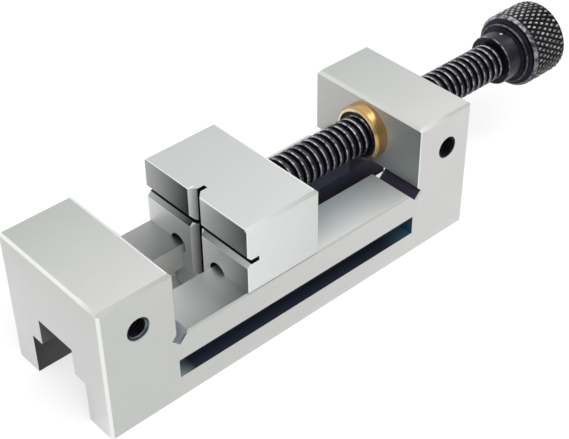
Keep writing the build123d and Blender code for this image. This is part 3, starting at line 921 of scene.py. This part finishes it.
# Bare steel: the hardened pins and washers are ground bright after hardening, and the stop hole's
# mouth is turned, in a darker bluish grey. A fine grain makes the gloss uneven.
hardPins = {"color": "#A8AAAC", "roughness": (0.24, 0.36), "grainPerMm": 2.5}
turnedMouth = {"color": "#6E7A80", "roughness": (0.29, 0.41), "grainPerMm": 2.5}


def makeBareSteel(name, settings):
    material, tree = newMaterial(name)
    coordinates = addNode(tree, "ShaderNodeTexCoord").outputs["Object"]
    look = {"Scale": settings["grainPerMm"] / mm, "Detail": 2.0}
    grain = addNode(tree, "ShaderNodeTexNoise", look, {"Vector": coordinates}).outputs[0]
    least, most = settings["roughness"]
    roughness = addNode(
        tree, "ShaderNodeMath", {1: most - least, 2: least}, {0: grain}, operation="MULTIPLY_ADD"
    ).outputs[0]
    look = {"Metallic": 1.0, "Base Color": hexColor(settings["color"])}
    surface = addNode(tree, "ShaderNodeBsdfPrincipled", look, {"Roughness": roughness})
    finishMaterial(tree, surface.outputs[0])
    return material


# The knob's cross pin: blackened with the knob, with a painted highlight, a small bright disc at its middle
crossPin = {
    "film": blackOxide["film"],
    "glintDot": "#F4F4F6",
    "glintRadius": 0.55,
    "place": (pinFront + pinRear) / 2,
    "roughness": 0.35,
}


def makePinSteel(name, settings):
    material, tree = newMaterial(name)
    coordinates = addNode(tree, "ShaderNodeTexCoord").outputs["Object"]
    parts = addNode(tree, "ShaderNodeSeparateXYZ", links={0: coordinates})
    flat = addNode(tree, "ShaderNodeCombineXYZ", links={0: parts.outputs[0], 1: parts.outputs[1]}).outputs[0]
    middle = (settings["place"] * mm, 0, 0)
    away = addNode(tree, "ShaderNodeVectorMath", {1: middle}, {0: flat}, operation="DISTANCE")
    glintDot = settings["glintRadius"] * mm
    feeds = {0: away.outputs["Value"]}
    inside = addNode(tree, "ShaderNodeMath", {1: glintDot}, feeds, operation="LESS_THAN").outputs[0]
    tones = {6: hexColor(settings["film"]), 7: hexColor(settings["glintDot"])}
    color = addNode(tree, "ShaderNodeMix", tones, {0: inside}, data_type="RGBA").outputs[2]
    look = {"Metallic": 1.0, "Roughness": settings["roughness"]}
    surface = addNode(tree, "ShaderNodeBsdfPrincipled", look, {"Base Color": color})
    finishMaterial(tree, surface.outputs[0])
    return material


# Nitrile rubber: moulded, matte black
moulded = {"color": "#141416", "roughness": 0.6, "ior": 1.5, "grainPerMm": 1.8, "grainDepth": 0.02}


def makeNitrileRubber(name, settings):
    material, tree = newMaterial(name)
    coordinates = addNode(tree, "ShaderNodeTexCoord").outputs["Object"]
    look = {"Scale": settings["grainPerMm"] / mm, "Detail": 3.0}
    grain = addNode(tree, "ShaderNodeTexNoise", look, {"Vector": coordinates}).outputs[0]
    relief = {"Strength": 0.3, "Distance": settings["grainDepth"] * mm}
    bump = addNode(tree, "ShaderNodeBump", relief, {"Height": grain}).outputs[0]
    black = hexColor(settings["color"])
    look = {"Base Color": black, "Roughness": settings["roughness"], "IOR": settings["ior"]}
    surface = addNode(tree, "ShaderNodeBsdfPrincipled", look, {"Normal": bump})
    finishMaterial(tree, surface.outputs[0])
    return material


def dress(piece, material):
    if piece.data.materials:
        for slot in piece.material_slots:
            slot.material = material
    else:
        piece.data.materials.append(material)


bodySteel = makeGroundSteel("groundToolSteelBody", groundSteel["body"], groundSteel, bodyLightAndShade, bodyEdges)
jawSteel = makeGroundSteel("groundToolSteelJaw", groundSteel["jaw"], groundSteel, jawLightAndShade, jawEdges)
brass = makeTurnedBrass("turnedBrass", turnedBrass)
screwOxide = makeBlackOxide("blackOxideScrew", blackOxide, screwWearAndSheen, leading=True)
knobOxide = makeBlackOxide("blackOxideKnob", blackOxide, knobWearAndSheen, reach=14.0, head=knurlFilm)
plainOxide = makeBlackOxide("blackOxideSmallParts", blackOxide, {})
hardSteel = makeBareSteel("hardenedSteelPins", hardPins)
pinSteel = makePinSteel("blackOxidePin", crossPin)
mouthSteel = makeBareSteel("turnedSteelMouth", turnedMouth)
rubber = makeNitrileRubber("nitrileRubber", moulded)

nodeFinishes = {
    "vise_body": bodySteel,
    "movable_jaw": jawSteel,
    "keeper_plate": jawSteel,
    "keeper_screws": plainOxide,
    "keeper_washers": hardSteel,
    "retaining_pin": hardSteel,
    "thrust_pad": hardSteel,
    "spindle_nut": brass,
    "nut_wiper_ring": rubber,
    "nut_lock_screw": plainOxide,
    "knob_pin": pinSteel,
}
for node, material in nodeFinishes.items():
    dress(nodes[node], material)
dress(screwPiece, screwOxide)
dress(knobPiece, knobOxide)
for threadPiece in sidePieces:
    dress(threadPiece, plainOxide)
dress(mouthPiece, mouthSteel)
print("materials:", len(bpy.data.materials))


# Floor and light

studio = {
    "floorSize": 6.0,
    "floorPlace": (0.1, 0, -0.0002),
    "floorColor": "#F0F0F0",
    "floorSeen": "#A8A8A8",  # the same paper to the camera, with the lift on top
    "floorLift": 0.68,
    "skyFill": 0.45,
    "darkSide": 0.3,  # what metal mirrors just above the floor on the camera's side
    "brightWay": (0.0, 0.530, 0.848),  # square to the line at which the sky turns bright
    "brightBlur": 0.1,  # half the width of that line
    "lampAim": (0.1, 0, 0.02),
    "boxPower": 8.0,
    "boxSize": (1.0, 0.8),
    "boxPlace": (-0.05, -0.5, 0.85),
    "stripPower": 1.0,
    "stripSize": (0.35, 0.3),
    "stripPlace": (0.62, -0.2, 0.85),
}


def makeFloor(settings):
    deselectAll()
    bpy.ops.mesh.primitive_plane_add(size=settings["floorSize"], location=settings["floorPlace"])
    floor = bpy.context.object
    floor.name = "studioFloor"
    bpy.ops.object.transform_apply(location=True, rotation=True, scale=True)
    material, tree = newMaterial("paleStudioPaper")
    seen = addNode(tree, "ShaderNodeLightPath").outputs["Is Camera Ray"]
    tones = {6: hexColor(settings["floorColor"]), 7: hexColor(settings["floorSeen"])}
    color = addNode(tree, "ShaderNodeMix", tones, {0: seen}, data_type="RGBA").outputs[2]
    lift = settings["floorLift"]
    strength = addNode(tree, "ShaderNodeMath", {1: lift}, {0: seen}, operation="MULTIPLY").outputs[0]
    surface = addNode(
        tree,
        "ShaderNodeBsdfPrincipled",
        {"Roughness": 0.9, "Specular IOR Level": 0.1, "Emission Color": (1, 1, 1, 1)},
        {"Base Color": color, "Emission Strength": strength},
    )
    finishMaterial(tree, surface.outputs[0])
    dress(floor, material)


def makeWorld(settings):
    world = bpy.data.worlds.new("studioWorld")
    bpy.context.scene.world = world
    world.use_nodes = True
    tree = world.node_tree
    tree.nodes.clear()
    isRay = addNode(tree, "ShaderNodeLightPath").outputs
    toSky = addNode(tree, "ShaderNodeTexCoord").outputs["Generated"]
    # bright all round the back and overhead, darker low down on the camera's side
    way, blur = settings["brightWay"], settings["brightBlur"]
    lean = addNode(tree, "ShaderNodeVectorMath", {1: way}, {0: toSky}, operation="DOT_PRODUCT")
    span = {"From Min": -blur, "From Max": blur, "To Min": settings["darkSide"], "To Max": 1.0}
    bright = addNode(tree, "ShaderNodeMapRange", span, {"Value": lean.outputs["Value"]}).outputs[0]
    feeds = {0: isRay["Is Glossy Ray"], 1: bright}
    glossy = addNode(tree, "ShaderNodeMath", links=feeds, operation="MULTIPLY").outputs[0]
    feeds = {0: isRay["Is Camera Ray"], 1: isRay["Is Transmission Ray"]}
    clear = addNode(tree, "ShaderNodeMath", links=feeds, operation="MAXIMUM").outputs[0]
    shown = addNode(tree, "ShaderNodeMath", links={0: clear, 1: glossy}, operation="MAXIMUM").outputs[0]
    fill = {1: settings["skyFill"]}
    diffuse = addNode(
        tree, "ShaderNodeMath", fill, {0: isRay["Is Diffuse Ray"]}, operation="MULTIPLY"
    ).outputs[0]
    strength = addNode(tree, "ShaderNodeMath", links={0: shown, 1: diffuse}, operation="MAXIMUM").outputs[0]
    background = addNode(tree, "ShaderNodeBackground", {"Color": (1, 1, 1, 1)}, {"Strength": strength})
    addNode(tree, "ShaderNodeOutputWorld", links={"Surface": background.outputs[0]})


def makeSoftbox(name, power, size, place, target, mirrored):
    # an area lamp that faces the vise
    data = bpy.data.lights.new(name, "AREA")
    data.shape = "RECTANGLE"
    data.size, data.size_y = size
    data.energy = power
    box = bpy.data.objects.new(name, data)
    bpy.context.scene.collection.objects.link(box)
    aim = Vector(place) - Vector(target)
    box.matrix_world = Matrix.Translation(place) @ aim.to_track_quat("Z", "Y").to_matrix().to_4x4()
    box.visible_glossy = mirrored


makeFloor(studio)
makeWorld(studio)
# metal mirrors the sky in place of the large box, and the small one over the screw as it is
box = (studio["boxPower"], studio["boxSize"], studio["boxPlace"], studio["lampAim"])
makeSoftbox("cameraSideSoftbox", *box, mirrored=False)
strip = (studio["stripPower"], studio["stripSize"], studio["stripPlace"], studio["lampAim"])
makeSoftbox("overheadSoftbox", *strip, mirrored=True)
bpy.context.scene.view_settings.view_transform = "Standard"
print("studio ready")
